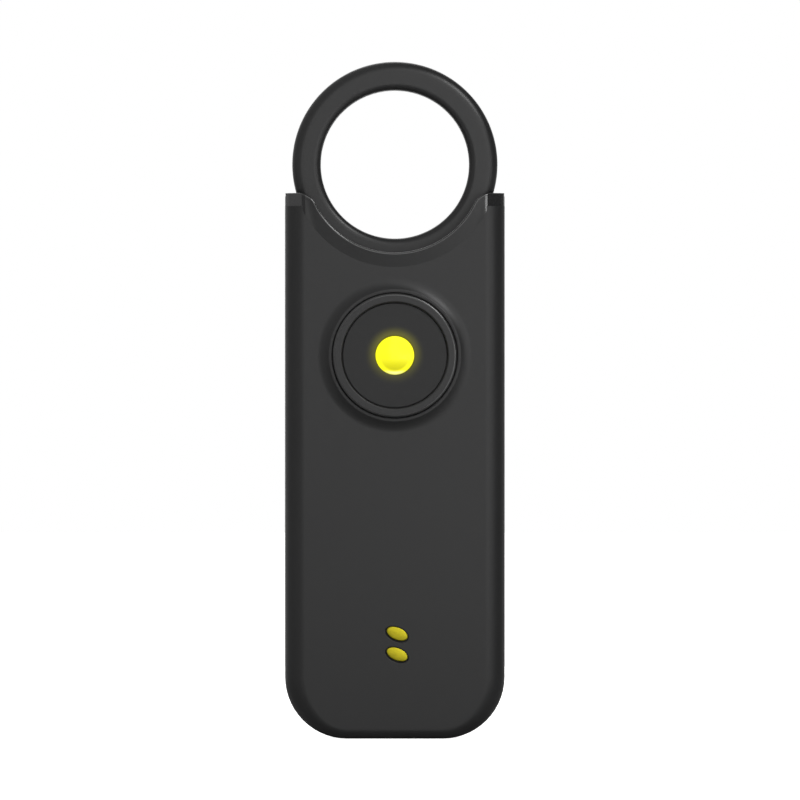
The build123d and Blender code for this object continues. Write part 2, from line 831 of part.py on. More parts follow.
with BuildPart() as sounder_mesh:
    with BuildSketch(depth_plane(inner_back_y)):
        with Locations((0, sounder_z)):
            Circle(sounder_radius - sounder_wall - mesh_gap)
    extrude(amount=mesh_thickness)
sounder_mesh.part.label = "sounder_mesh"
export_step(sounder_mesh.part, "parts/sounder_mesh.step")

# Screws from the back, with crossed recesses in their heads
with BuildPart() as shell_screws:
    with BuildSketch(depth_plane(screw_seat_y)):
        with Locations(post_places):
            Circle(screw_head_radius)
    extrude(amount=-screw_head_height)
    with BuildSketch(depth_plane(screw_seat_y)):
        with Locations(post_places):
            Circle(screw_radius)
    extrude(amount=screw_seat_y - screw_tip_y)
    with BuildSketch(depth_plane(screw_seat_y + screw_head_height)):
        with Locations(post_places):
            Rectangle(recess_length, recess_width)
            Rectangle(recess_width, recess_length)
    extrude(amount=recess_depth, mode=Mode.SUBTRACT)
shell_screws.part.label = "shell_screws"
export_step(shell_screws.part, "parts/shell_screws.step")


def lead(points):
    """A round lead along straight runs joined by arcs."""
    with BuildPart() as wire:
        with BuildLine() as route:
            FilletPolyline(*points, radius=lead_bend)
        with BuildSketch(Plane(route.line @ 0, z_dir=route.line % 0)):
            Circle(lead_radius)
        sweep(path=route.line)
    return wire.part


# Leads from the battery's top to the board, and from the sounder to the board
battery_lead_y = battery_front_y + battery_lead_inset
battery_lead_z = battery_top_z + battery_lead_rise
battery_leads_made = [
    lead(
        [
            (x, battery_lead_y, battery_top_z),
            (x, battery_lead_y, battery_lead_z),
            (x, board_back_y, battery_lead_z),
        ]
    )
    for x in (-lead_spacing / 2, lead_spacing / 2)
]
with BuildPart() as battery_leads:
    add(battery_leads_made)
battery_leads.part.label = "battery_leads"
export_step(battery_leads.part, "parts/battery_leads.step")

sounder_lead_y = (board_back_y + ceramic_front_y) / 2
sounder_leads_made = [
    lead(
        [
            (x, start_y, sounder_z),
            (x, sounder_lead_y, sounder_z),
            (x, sounder_lead_y, sounder_z + sounder_lead_reach),
            (x, board_back_y, sounder_z + sounder_lead_reach),
        ]
    )
    for x, start_y in (
        (sounder_lead_x, ceramic_front_y + ceramic_thickness),
        (ceramic_lead_x, ceramic_front_y),
    )
]
with BuildPart() as sounder_leads:
    add(sounder_leads_made)
sounder_leads.part.label = "sounder_leads"
export_step(sounder_leads.part, "parts/sounder_leads.step")
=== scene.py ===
from math import atan2, cos, pi, radians, sin

import bmesh
import bpy
import numpy as np
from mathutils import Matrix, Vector


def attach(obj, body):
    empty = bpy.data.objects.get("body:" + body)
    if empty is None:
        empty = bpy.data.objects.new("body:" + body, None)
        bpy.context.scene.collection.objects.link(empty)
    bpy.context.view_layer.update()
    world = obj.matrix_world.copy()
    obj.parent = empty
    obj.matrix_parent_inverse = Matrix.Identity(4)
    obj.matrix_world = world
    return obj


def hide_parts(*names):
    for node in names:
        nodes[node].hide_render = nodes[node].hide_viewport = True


# Personal safety alarm. The pieces' dictionaries hold mm and degrees, the scene and the studio hold metres. X is to
# the right, Y to the back and Z up. A "front" or "back" is a depth, a place along Y.

mm = 0.001
mirror = np.array([-1.0, 1.0])  # takes a run of (x, z) points to the other side
samePoint = 1e-5  # mm within which two points of a profile are one
weldReach = 2e-6  # metres within which two points of a mesh are one
thinEdge = 1e-7  # metres under which an edge is dropped
sharpAngle = 32.0  # faces that meet at more than this are shaded apart


# Circle arc: the centre plus the radius times the cosine and sine of evenly spaced angles.
def arc(centre, radius, start, end, steps):
    angle = np.radians(np.linspace(start, end, steps + 1))
    return np.stack([centre[0] + radius * np.cos(angle), centre[1] + radius * np.sin(angle)], 1)


# Straight line: the start and the end mixed by an even share.
def line(start, end, steps):
    share = np.linspace(0.0, 1.0, steps + 1)[:, None]
    return np.array(start, float) * (1 - share) + np.array(end, float) * share


# One profile made of several runs of points, less each point that repeats the one before it.
def chain(*parts):
    points = np.concatenate([np.atleast_2d(np.array(part, float)) for part in parts])
    gap = np.linalg.norm(np.diff(points, axis=0), axis=1)
    return points[np.concatenate([[True], gap > samePoint])]


# Straight lines from corner to corner, each cut into its own number of steps.
def walk(corners, cuts):
    return chain(*[line(start, end, steps) for start, end, steps in zip(corners, corners[1:], cuts)])


# Share eased at both ends: three times its square less twice its cube.
def ease(share):
    return share * share * (3 - 2 * share)


# Profile of (radius, depth) turned round an axis along Y: x is the radius times the cosine of the angle, and z is
# the axis's height plus the radius times its sine.
def revolveY(profile, centreZ, steps):
    angle = np.linspace(0.0, 2 * pi, steps + 1)
    radius, depth = profile[:, :1], profile[:, 1:]
    return np.stack([radius * np.cos(angle), depth + 0 * angle, centreZ + radius * np.sin(angle)], 2)


# Run of (x, z) points carried straight back to each of some depths.
def depthGrid(points, depths):
    return np.stack([np.stack([points[:, 0], 0 * points[:, 0] + depth, points[:, 1]], 1) for depth in depths])


# Closed mesh out of grids of points (rows, columns, xyz). Each cell between four neighbours is a face. A patch may
# be a pair of a grid and a material number, or one number for each cell. Bars are extra edges. Each plane is the
# number of an axis and a level on it: the open edges that lie in it are filled with triangles, holes left open.
def closedMesh(patches, planes=(), bars=()):
    vertices, faces, owners, count = [], [], [], 0
    for patch in patches:
        grid, owner = patch if isinstance(patch, tuple) else (patch, 0)
        rows, columns = grid.shape[:2]
        index = count + np.arange(rows * columns).reshape(rows, columns)
        faces.append(np.stack([index[:-1, :-1], index[1:, :-1], index[1:, 1:], index[:-1, 1:]], 2).reshape(-1, 4))
        vertices.append(grid.reshape(-1, 3) * mm)
        owners.append(np.broadcast_to(owner, (rows - 1, columns - 1)).ravel())
        count += rows * columns
    edges = [(first, first + 1) for first in range(count, count + 2 * len(bars), 2)]
    vertices += [np.array(bar, float) * mm for bar in bars]
    mesh = bpy.data.meshes.new("part")
    mesh.from_pydata(np.concatenate(vertices), edges, np.concatenate(faces).tolist())
    mesh.polygons.foreach_set("material_index", np.concatenate(owners).astype(np.int32))
    work = bmesh.new()
    work.from_mesh(mesh)
    bmesh.ops.remove_doubles(work, verts=work.verts, dist=weldReach)
    bmesh.ops.dissolve_degenerate(work, edges=work.edges, dist=thinEdge)
    for axis, level in planes:
        rim = [edge for edge in work.edges if len(edge.link_faces) < 2
               and all(abs(vertex.co[axis] - level * mm) < weldReach for vertex in edge.verts)]
        bmesh.ops.triangle_fill(work, edges=rim, use_beauty=True, use_dissolve=False)
    bmesh.ops.recalc_face_normals(work, faces=work.faces)
    leaks = sum(not edge.is_manifold for edge in work.edges)
    if leaks:
        print("open edges", leaks)
    work.to_mesh(mesh)
    work.free()
    return mesh


# One piece of the frame out of closed solids, each given as (patches, planes, bars) or as patches alone.
def addPiece(name, solids, materials, body, nodes):
    work = bmesh.new()
    for solid in solids:
        work.from_mesh(closedMesh(*solid))
    mesh = bpy.data.meshes.new(name)
    work.to_mesh(mesh)
    work.free()
    mesh.shade_smooth()
    mesh.set_sharp_from_angle(angle=radians(sharpAngle))
    for material in materials:
        mesh.materials.append(material)
    piece = bpy.data.objects.new(name, mesh)
    bpy.context.scene.collection.objects.link(piece)
    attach(piece, body)
    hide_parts(*nodes)
    print(name, len(mesh.vertices), "points")


# A node tree with short ways to add and join its nodes.
class NodeTree:
    def __init__(self, tree):
        self.nodes, self.links = tree.nodes, tree.links

    def join(self, value, socket):
        if isinstance(value, bpy.types.NodeSocket):
            self.links.new(value, socket)
        else:
            socket.default_value = value

    def add(self, kind, inputs=(), **settings):
        node = self.nodes.new(kind)
        for key, value in settings.items():
            setattr(node, key, value)
        for key, value in dict(inputs).items():
            self.join(value, node.inputs[key])
        return node

    def math(self, operation, first, second=0.0):
        return self.add("ShaderNodeMath", {0: first, 1: second}, operation=operation).outputs[0]

    # Sum, product and the like of two vectors, or the length of one, which comes out as a value
    def vector(self, operation, first, second=(0.0, 0.0, 0.0), result="Vector"):
        return self.add("ShaderNodeVectorMath", {0: first, 1: second}, operation=operation).outputs[result]

    def along(self, axis, vector):
        return self.add("ShaderNodeSeparateXYZ", {0: vector}).outputs[axis]

    # Value moved from one range to another and held at its ends
    def remap(self, value, reach, result=(0.0, 1.0), curve="LINEAR"):
        return self.add("ShaderNodeMapRange", {"Value": value, "From Min": reach[0], "From Max": reach[1],
                                               "To Min": result[0], "To Max": result[1]},
                        interpolation_type=curve).outputs["Result"]

    def mix(self, share, first, second):
        return self.add("ShaderNodeMix", {"Factor": share, "A": first, "B": second}).outputs[0]


# A material whose patterns read the piece's own Object coordinates.
class Finish(NodeTree):
    sockets = {
        "colour": "Base Color", "roughness": "Roughness", "metallic": "Metallic", "specular": "Specular IOR Level",
        "coat": "Coat Weight", "coatRoughness": "Coat Roughness", "glow": "Emission Color",
        "glowStrength": "Emission Strength",
    }

    def __init__(self, name):
        self.material = bpy.data.materials.new(name)
        self.material.use_nodes = True
        super().__init__(self.material.node_tree)
        self.shader = self.nodes["Principled BSDF"]
        self.place = self.add("ShaderNodeTexCoord").outputs["Object"]

    def noise(self, scale, detail=2.0, stretch=None):
        vector = self.place
        if stretch:
            vector = self.add("ShaderNodeMapping", {"Vector": vector, "Scale": stretch}).outputs[0]
        return self.add("ShaderNodeTexNoise", {"Vector": vector, "Scale": scale, "Detail": detail}).outputs["Fac"]

    # Colours or greys at places along a value from 0 to 1
    def ramp(self, value, *stops):
        node = self.add("ShaderNodeValToRGB", {"Fac": value})
        elements = node.color_ramp.elements
        while len(elements) < len(stops):
            elements.new(0.5)
        for element, (position, colour) in zip(elements, stops):
            element.position = position
            element.color = (*(colour if hasattr(colour, "__len__") else (colour, colour, colour)), 1.0)
        return node.outputs["Color"]

    def span(self, value, low, high):
        return self.remap(value, (0.0, 1.0), (low, high))

    def bump(self, height, distance, strength):
        inputs = {"Height": height, "Distance": distance * mm, "Strength": strength}
        self.links.new(self.add("ShaderNodeBump", inputs).outputs[0], self.shader.inputs["Normal"])

    def set(self, **inputs):
        for key, value in inputs.items():
            self.join((*value, 1.0) if isinstance(value, tuple) else value, self.shader.inputs[self.sockets[key]])
        return self.material


def shade(colour, gain):
    return [min(1.0, gain * part) for part in colour]


# Moulded plastic: a fine spark-eroded grain, and a slow change of tone and gloss from one place to the next.
def mouldedPlastic(name, colour, roughness, specular=0.5):
    finish = Finish(name)
    slow = finish.noise(55.0)
    finish.bump(finish.noise(5200.0, 3.0), 0.004, 0.5)
    return finish.set(colour=finish.ramp(slow, (0.3, shade(colour, 0.94)), (0.7, shade(colour, 1.06))),
                      roughness=finish.span(slow, roughness - 0.03, roughness + 0.03), specular=specular)


# Plated or bare metal: fine scratches, drawn out along the axis whose stretch is small.
def metal(name, colour, roughness, scale=900.0, stretch=(1.0, 1.0, 1.0)):
    finish = Finish(name)
    scratch = finish.noise(scale, 4.0, stretch)
    return finish.set(colour=finish.ramp(scratch, (0.3, shade(colour, 0.88)), (0.7, shade(colour, 1.08))),
                      metallic=1.0, roughness=finish.span(scratch, roughness - 0.08, roughness + 0.08))


# Nickel-plated screw heads with painted shade in the crossed recess: a fifth of the colour at the recess's floor,
# rising to all of it at the top.
def screwSteelPaintedShade(colour, roughness, floor, top):
    finish = Finish("screwSteelPaintedShade")
    # painted shade: darker with depth towards the recess's floor
    share = finish.remap(finish.along("Y", finish.place), (floor * mm, top * mm))
    scratch = finish.noise(1400.0, 4.0)
    finish.bump(scratch, 0.01, 0.4)
    return finish.set(colour=finish.ramp(share, (0.0, shade(colour, 0.2)), (1.0, colour)), metallic=1.0,
                      roughness=finish.span(scratch, roughness - 0.08, roughness + 0.08))


# Circuit board: rows of copper tracks that show paler and stand a little proud under the green mask.
def solderMask(mask, copper):
    finish = Finish("solderMask")
    turned = finish.add("ShaderNodeMapping", {"Vector": finish.place, "Rotation": (pi / 2, 0.0, 0.0)}).outputs[0]
    black, white = (0, 0, 0, 1), (1, 1, 1, 1)
    tracks = finish.add("ShaderNodeTexBrick", {
        "Vector": turned, "Scale": 110.0, "Mortar Size": 0.035, "Mortar Smooth": 0.2,
        "Color1": black, "Color2": black, "Mortar": white}, offset=0.5, squash=0.6).outputs["Color"]
    finish.bump(tracks, 0.03, 0.6)
    return finish.set(colour=finish.ramp(tracks, (0.2, mask), (0.8, copper)),
                      roughness=finish.span(finish.noise(400.0), 0.22, 0.36))


# Fired or pressed powder: fine light and dark grains, and a slightly rough skin.
def speckled(name, dark, light, scale, roughness, grain):
    finish = Finish(name)
    grains = finish.noise(scale, 5.0)
    finish.bump(grains, grain, 0.6)
    return finish.set(colour=finish.ramp(grains, (0.38, dark), (0.62, light)),
                      roughness=finish.span(grains, roughness + 0.08, roughness - 0.08))


# Laminated aluminium pouch: soft creases at two sizes under a clear plastic skin.
def pouchFoil(colour):
    finish = Finish("pouchFoil")
    creases = finish.noise(260.0, 3.0, (1.0, 1.0, 0.35))
    fine = finish.noise(1500.0)
    finish.bump(creases, 0.12, 0.7)
    return finish.set(colour=finish.ramp(fine, (0.35, shade(colour, 0.9)), (0.65, colour)), metallic=1.0,
                      roughness=finish.span(creases, 0.3, 0.5), coat=0.4, coatRoughness=0.2)


# Foam tape: round pores that are darker and lie deeper than the skin between them.
def porousFoam(colour):
    finish = Finish("foamTape")
    pores = finish.add("ShaderNodeTexVoronoi", {"Vector": finish.place, "Scale": 2600.0}).outputs["Distance"]
    finish.bump(pores, 0.05, 0.8)
    return finish.set(colour=finish.ramp(pores, (0.1, shade(colour, 0.5)), (0.6, colour)), roughness=0.9)


# Fine cloth: the product of two wave patterns at right angles gives its threads.
def wovenMesh(colour):
    finish = Finish("wovenMesh")
    waves = [finish.add("ShaderNodeTexWave", {"Vector": finish.place, "Scale": 900.0},
                        bands_direction=way).outputs["Fac"] for way in "XZ"]
    threads = finish.math("MULTIPLY", *waves)
    finish.bump(threads, 0.03, 0.8)
    return finish.set(colour=finish.ramp(threads, (0.1, shade(colour, 0.3)), (0.6, colour)), roughness=0.75)


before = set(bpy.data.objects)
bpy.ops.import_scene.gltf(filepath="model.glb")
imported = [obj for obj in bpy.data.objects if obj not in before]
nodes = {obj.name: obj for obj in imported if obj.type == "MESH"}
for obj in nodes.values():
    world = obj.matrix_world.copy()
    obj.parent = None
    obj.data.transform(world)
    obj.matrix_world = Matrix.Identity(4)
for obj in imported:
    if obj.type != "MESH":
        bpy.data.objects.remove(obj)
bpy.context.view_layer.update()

charcoal = (0.0162, 0.0162, 0.0165)
casePlastic = mouldedPlastic("casePlastic", (0.0158, 0.0158, 0.0161), 0.40)
edgePlastic = mouldedPlastic("edgePlastic", charcoal, 0.11, 1.0)
ringPlastic = mouldedPlastic("ringPlastic", charcoal, 0.37)
capPlastic = mouldedPlastic("capPlastic", charcoal, 0.37)
capEdge = mouldedPlastic("capEdge", charcoal, 0.24, 1.0)
goldPlate = metal("goldPlate", (0.63, 0.545, 0.03), 0.42)
blackPlastic = mouldedPlastic("blackPlastic", (0.012, 0.012, 0.013), 0.45)
whitePlastic = mouldedPlastic("whitePlastic", (0.7, 0.7, 0.68), 0.4)
siliconeRubber = mouldedPlastic("siliconeRubber", (0.012, 0.012, 0.012), 0.7)

# The material for each of the solids' own slots. Nodes that no piece replaces keep their meshes and take these.
slotFinishes = {
    "case": casePlastic,
    "ring": ringPlastic,
    "button": capPlastic,
    "gold": goldPlate,
    "rubber": siliconeRubber,
    "insert": siliconeRubber,
    "lens": whitePlastic,
    "led": whitePlastic,
    "white_plastic": whitePlastic,
    "black_plastic": blackPlastic,
    "board": solderMask((0.012, 0.13, 0.045), (0.035, 0.26, 0.09)),
    "ceramic": speckled("firedCeramic", (0.56, 0.52, 0.44), (0.7, 0.66, 0.58), 2400.0, 0.5, 0.01),
    "ferrite": speckled("ferrite", (0.035, 0.035, 0.038), (0.085, 0.085, 0.09), 3200.0, 0.5, 0.015),
    "lead_cover": mouldedPlastic("leadCover", (0.45, 0.02, 0.02), 0.45),
    "foam": porousFoam((0.06, 0.06, 0.06)),
    "mesh": wovenMesh((0.05, 0.05, 0.05)),
    "steel": metal("nickelSteel", (0.55, 0.56, 0.58), 0.3, 1400.0, (1.0, 1.0, 0.2)),
    "brass": metal("brassSheet", (0.7, 0.52, 0.2), 0.35, 700.0, (0.15, 1.0, 1.0)),
    "battery_foil": pouchFoil((0.7, 0.71, 0.72)),
}
for node in nodes.values():
    for place in node.material_slots:
        place.material = slotFinishes[place.material.name.split(".")[0]]
for place in nodes["shell_screws"].material_slots:
    place.material = screwSteelPaintedShade((0.5, 0.51, 0.53), 0.36, 5.5, 5.95)
print("materials on the carried-over nodes")


ringSize = {
    "centre": 83.6,
    "outer": 14.96,
    "inner": 10.8,
    "front": -1.95,
    "back": 3.45,
    "outerRounding": 1.4,
    "innerRounding": 1.0,
    "flatGap": 0.08,  # from the end of a rounding to the first point of the flat beside it
    "turns": 320,
    "tongueWidth": 8.0,
    "tongueFront": -0.35,
    "tongueBack": 1.85,
    "tongueEnd": 59.6,
    "tongueRoot": 70.7,
    "tongueLevels": (70.7, 67.7, 64.7),
    "tongueCorner": 0.5,
}


# The band is a rounded rectangle turned round the ring's axis. The tongue is a rectangle carried down, then drawn in
# by its corner's size and closed on its middle.
def buildRing():
    size = ringSize
    front, back, outer, inner = size["front"], size["back"], size["outer"], size["inner"]
    big, small, gap = size["outerRounding"], size["innerRounding"], size["flatGap"]
    profile = chain(
        arc((outer - big, front + big), big, 270, 360, 14),
        line((outer, front + big + gap), (outer, back - big - gap), 4),
        arc((outer - big, back - big), big, 0, 90, 14),
        line((outer - big - gap, back), (inner + small + gap, back), 4),
        arc((inner + small, back - small), small, 90, 180, 10),
        line((inner, back - small - gap), (inner, front + small + gap), 5),
        arc((inner + small, front + small), small, 180, 270, 10),
        line((inner + small + gap, front), (outer - big, front), 4),
    )
    band = revolveY(profile, size["centre"], size["turns"])
    half, low, high = size["tongueWidth"] / 2, size["tongueFront"], size["tongueBack"]
    outline = walk([(-half, low), (half, low), (half, high), (-half, high), (-half, low)], [8, 4, 8, 4])
    middle = np.array([0.0, (low + high) / 2])
    reach = np.array([half, (high - low) / 2])
    drawnIn = middle + (outline - middle) * (reach - size["tongueCorner"]) / reach
    point = middle + 0 * outline
    levels = [(point, size["tongueRoot"])] + [(outline, level) for level in size["tongueLevels"]]
    levels += [(outline, size["tongueEnd"] + size["tongueCorner"]), (drawnIn, size["tongueEnd"]),
               (point, size["tongueEnd"])]
    tongue = np.array([np.stack([run[:, 0], run[:, 1], 0 * run[:, 0] + level], 1) for run, level in levels])
    addPiece("pullRing", [([band],), ([tongue],)], [ringPlastic], "ring", ["pull_ring"])


buttonSize = {
    "centre": 55.75,
    "turns": 192,
    "capRadius": 9.04,
    "capFront": -7.0,
    "capRim": 1.35,
    "capRounding": 0.33,
    "rimRounding": 0.22,
    "flatGap": 0.05,  # from the end of a rounding to the first point of the flat beside it
    "plateFront": -6.0,
    "plateBack": -5.0,
    "stemHole": 1.95,
    "skirtInner": 8.0,
    "flangeRadius": 10.1,
    "flangeFront": -4.05,
    "flangeBack": -3.25,
    "insertOuter": 7.61,
    "insertInner": 2.85,
    "insertFront": -6.6,
    "insertRounding": 0.12,
    "lensRadius": 2.8,
    "lensShoulder": 0.35,
    "lensDome": 0.36,
    "lensStem": 1.9,
    "lensBack": -3.8,
    "spillColour": (0.9, 0.85, 0.02),
    "spillPower": 0.108,
    "spillReach": (2.2, 4.6),  # from the lens's axis, where the painted light on the insert starts to fall and ends
    "spillRise": (-4.0, 4.0),
    "spillLean": (0.35, 1.65),  # its gain below and above the lens
    "paintedShadeRise": (-2.8, 0.6),
    "tone": (0.42, 0.98),  # painted shade: the lens's light at its lower edge and from its middle up
    "paintedHighlightTone": 1.05,
    "paintedHighlightStops": ((0.0, 0.0), (0.72, 0.0), (0.88, 1.0), (1.0, 0.4)),  # share of the radius, share of the painted highlight's tone
    "paintedReflectionRise": (-2.1, -2.6),
    "lensColour": (1.0, 0.97, 0.012),
    "paintedReflectionColour": (1.0, 1.0, 0.5),
}


# Soft dark rubber with a painted glow of the lens's light on it, given off by the rubber itself: full near the lens,
# eased to none further out, and stronger above.
def insertRubber():
    size = buttonSize
    finish = Finish("insertRubber")
    offset = finish.vector("SUBTRACT", finish.place, (0.0, size["insertFront"] * mm, size["centre"] * mm))
    distance = finish.vector("LENGTH", offset, result="Value")
    # painted light: the lens's glow, given off by the rubber
    fall = finish.remap(distance, [reach * mm for reach in size["spillReach"]], (1.0, 0.0), "SMOOTHERSTEP")
    lean = finish.remap(finish.along("Z", offset), [rise * mm for rise in size["spillRise"]], size["spillLean"])
    slow = finish.noise(90.0)
    finish.bump(finish.noise(4200.0, 3.0), 0.004, 0.5)
    return finish.set(colour=finish.ramp(slow, (0.3, (0.0108, 0.0108, 0.011)), (0.7, (0.0122, 0.0122, 0.0124))),
                      roughness=0.5, glow=size["spillColour"],
                      glowStrength=finish.span(finish.math("MULTIPLY", fall, lean), 0.0, size["spillPower"]))


# Lit yellow lens: its light rises with height, a painted shade on its lower part; it is brighter in a painted highlight
# ring near its edge, and paler low in that ring, a painted reflection.
def litLens():
    size = buttonSize
    finish = Finish("litLens")
    offset = finish.vector("SUBTRACT", finish.place, (0.0, 0.0, size["centre"] * mm))
    flat = finish.vector("MULTIPLY", offset, (1.0, 0.0, 1.0))
    distance = finish.vector("LENGTH", flat, result="Value")
    rise = finish.along("Z", offset)
    # painted shade: the glow darker towards the lower edge
    tone = finish.remap(rise, [reach * mm for reach in size["paintedShadeRise"]], size["tone"], "SMOOTHSTEP")
    # painted highlight: a brighter ring near the edge
    rim = finish.ramp(finish.remap(distance, (0.0, size["lensRadius"] * mm)), *size["paintedHighlightStops"])
    # painted reflection: paler low in that ring
    low = finish.remap(rise, [reach * mm for reach in size["paintedReflectionRise"]])
    paintedReflection = finish.math("MULTIPLY", rim, low)
    return finish.set(colour=(0.3, 0.27, 0.01), roughness=0.15, specular=0.2,
                      glow=finish.ramp(paintedReflection, (0.0, size["lensColour"]), (1.0, size["paintedReflectionColour"])),
                      glowStrength=finish.mix(rim, tone, size["paintedHighlightTone"]))


# Cap, insert and lens are profiles turned round the button's axis. The lens's crown is a circle through its edge and
# the top of its dome: the radius is the sum of their squares over twice the dome.
def buildButton():
    size = buttonSize
    centre, turns, gap = size["centre"], size["turns"], size["flatGap"]
    outer, front, stem = size["capRadius"], size["capFront"], size["stemHole"]
    big, small, recess = size["capRounding"], size["rimRounding"], size["capRadius"] - size["capRim"]
    top = chain(
        walk([(stem, size["plateBack"]), (stem, size["plateFront"]), (recess, size["plateFront"]),
              (recess, front + small)], [2, 6, 3]),
        arc((recess + small, front + small), small, 180, 270, 6),
        line((recess + small + gap, front), (outer - big, front), 4),
    )
    edge = arc((outer - big, front + big), big, 270, 360, 8)
    skirt = walk([(outer, front + big), (outer, size["flangeFront"]), (size["flangeRadius"], size["flangeFront"]),
                  (size["flangeRadius"], size["flangeBack"]), (size["skirtInner"], size["flangeBack"]),
                  (size["skirtInner"], size["plateBack"]), (stem, size["plateBack"])], [5, 2, 2, 2, 3, 4])
    patches = [revolveY(top, centre, turns), (revolveY(edge, centre, turns), 1), revolveY(skirt, centre, turns)]
    addPiece("buttonCap", [(patches,)], [capPlastic, capEdge], "button", ["button_cap"])

    inner, outer = size["insertInner"], size["insertOuter"]
    front, rounding = size["insertFront"], size["insertRounding"]
    insert = chain(
        line((inner, size["plateFront"]), (inner, front + rounding), 2),
        arc((inner + rounding, front + rounding), rounding, 180, 270, 4),
        line((inner + rounding + gap, front), (outer - rounding - gap, front), 8),
        arc((outer - rounding, front + rounding), rounding, 270, 360, 4),
        walk([(outer, front + rounding), (outer, size["plateFront"]), (inner, size["plateFront"])], [2, 4]),
    )
    addPiece("buttonInsert", [([revolveY(insert, centre, turns)],)], [insertRubber()], "button",
             ["button_insert"])

    edge, dome, stem, back = size["lensRadius"], size["lensDome"], size["lensStem"], size["lensBack"]
    shoulder = front + size["lensShoulder"]
    radius = (edge ** 2 + dome ** 2) / (2 * dome)
    across = np.linspace(0.0, edge, 20)
    crown = np.stack([across, front - dome + radius - np.sqrt(radius ** 2 - across ** 2)], 1)
    lens = chain(crown, walk([(edge, front), (edge, shoulder), (stem, shoulder), (stem, back), (0.0, back)],
                             [2, 2, 4, 3]))
    addPiece("ledLens", [([revolveY(lens, centre, turns // 2)],)], [litLens()], "button", ["led_lens"])


contactSize = {
    "x": 0.35,
    "heights": {"upper": 15.3, "lower": 12.3},
    "halfLength": 1.62,
    "halfWidth": 0.89,
    "tilt": -23.0,
    "face": -5.5,
    "proud": 0.12,
    "crownShares": (0.0, 0.3, 0.55, 0.75, 0.88),  # of the way from the middle to the edge
    "crownFall": 0.05,  # depth of the crown's edge below its middle
    "rounding": 0.14,
    "sideDrop": 0.4,
    "headBack": -3.7,
    "pinRadius": 0.45,
    "pinBack": -2.0,
    "holeGap": 0.16,  # between the pad and its hole, all round
    "holeShift": (-0.07, -0.12),
    "holeEdge": ((0.12, 0.0), (0.06, 0.0), (0.02, 0.02), (0.0, 0.06)),  # growth and depth of the hole's worn edge
    "steps": 64,
}


# Slanted oval as a row of points: half the length times the cosine of the angle and half the width times its sine,
# both grown alike, then turned by the tilt.
def ovalRow(height, growth, depth, shift=(0.0, 0.0)):
    size = contactSize
    angle = np.linspace(0.0, 2 * pi, size["steps"] + 1)
    tilt = radians(size["tilt"])
    u, v = (size["halfLength"] + growth) * np.cos(angle), (size["halfWidth"] + growth) * np.sin(angle)
    x = size["x"] + shift[0] + u * cos(tilt) - v * sin(tilt)
    z = height + shift[1] + u * sin(tilt) + v * cos(tilt)
    return np.stack([x, 0 * x + depth, z], 1)


# Rows of the same oval: a low crown that falls with the square of the share, a quarter circle, the side and the pin.
def buildContacts():
    size = contactSize
    front, rounding, fall = size["face"] - size["proud"], size["rounding"], size["crownFall"]
    angles = np.radians(np.linspace(0.0, 90.0, 7))
    edge = [(rounding * (sin(angle) - 1), front + fall + rounding * (1 - cos(angle))) for angle in angles]
    side = [(0.0, size["face"] + size["sideDrop"]), (0.0, size["headBack"])]
    turn = np.linspace(0.0, 2 * pi, size["steps"] + 1) + radians(size["tilt"])
    pin = [(size["pinRadius"], size["headBack"]), (size["pinRadius"], size["pinBack"]), (0.0, size["pinBack"])]
    for name, height in size["heights"].items():
        middle = np.array([size["x"], 0.0, height])
        rim = ovalRow(height, -rounding, 0.0) - middle
        rows = [middle + rim * share + np.array([0.0, front + fall * share ** 2, 0.0])
                for share in size["crownShares"]]
        rows += [ovalRow(height, growth, depth) for growth, depth in edge + side]
        rows += [np.stack([size["x"] + radius * np.cos(turn), 0 * turn + depth, height + radius * np.sin(turn)], 1)
                 for radius, depth in pin]
        addPiece(name + "Contact", [([np.array(rows)],)], [goldPlate], "case", [name + "_charging_contact"])


shellSize = {
    "halfWidth": 16.0,
    "cornerRadius": 9.0,
    "front": -5.5,
    "seam": 0.75,
    "seamBand": 0.4,
    "innerFront": -4.1,
    "wall": 1.4,
    "rebate": 0.7,
    "rebateDepth": 1.0,
    "rebateTop": 64.2,
    "sideLevels": (50.0, 36.0, 22.0, 12.0),
    "upperLevel": 70.0,
    "sideRounding": 2.8,
    "bottomRounding": 1.35,
    "roundingPower": 1.4,  # how late the rounding shrinks round the lower corners
    "roundingGap": 0.3,  # from the rounding's start back to the next row
    "faceGap": 0.12,  # from the rounding's end to the first row on the flat face
    "border": 3.1,  # from the outline to the last such row
    "stepHeight": 77.5,
    "hiddenTop": 14.1,  # radius of the face's end behind the lip
    "slotRadius": 15.3,
    "slotFront": -2.25,
    "roofRadius": 16.7,
    "openingHalf": 4.8,
    "openingFront": -1.15,
    "holeRadius": 9.15,
    "bossFront": -6.05,
    "bossLip": 0.47,
    "bossEdge": 0.06,
    "bossGap": 0.05,  # from the end of that edge to the hole's first point
    "bossCrest": ((0.04, 0.035), (-0.01, 0.006), (-0.06, 0.0)),  # steps from the flare's top on to the lip's flat
    "bossFoot": 11.25,
    "bossFootGaps": (0.35, 0.1),  # from the flare's foot to the rows on the flat face round it
    "postPlaces": ((-9.2, 7.4), (9.2, 7.4), (-12.0, 67.5), (12.0, 67.5)),
    "postSink": 0.05,  # how far a post goes into the front wall
    "postRadius": 2.2,
    "shelfRadius": 3.0,
    "shelfBack": -2.0,
    "pilotRadius": 0.82,
    "pilotFront": -2.8,
    "steps": {"corner": 14, "bottom": 4, "rounding": 15, "slot": 40, "opening": 17, "hidden": 59, "flare": 16,
              "post": 40, "horn": 14},
}
hair = 0.01  # between two rows that stand for one sharp step


# Height at which the curved roof under the ring meets the inside of the long walls: the ring's centre less the root
# of the roof's radius squared less the inner half width squared.
def roofEnd():
    size = shellSize
    return ringSize["centre"] - (size["roofRadius"] ** 2 - (size["halfWidth"] - size["wall"]) ** 2) ** 0.5


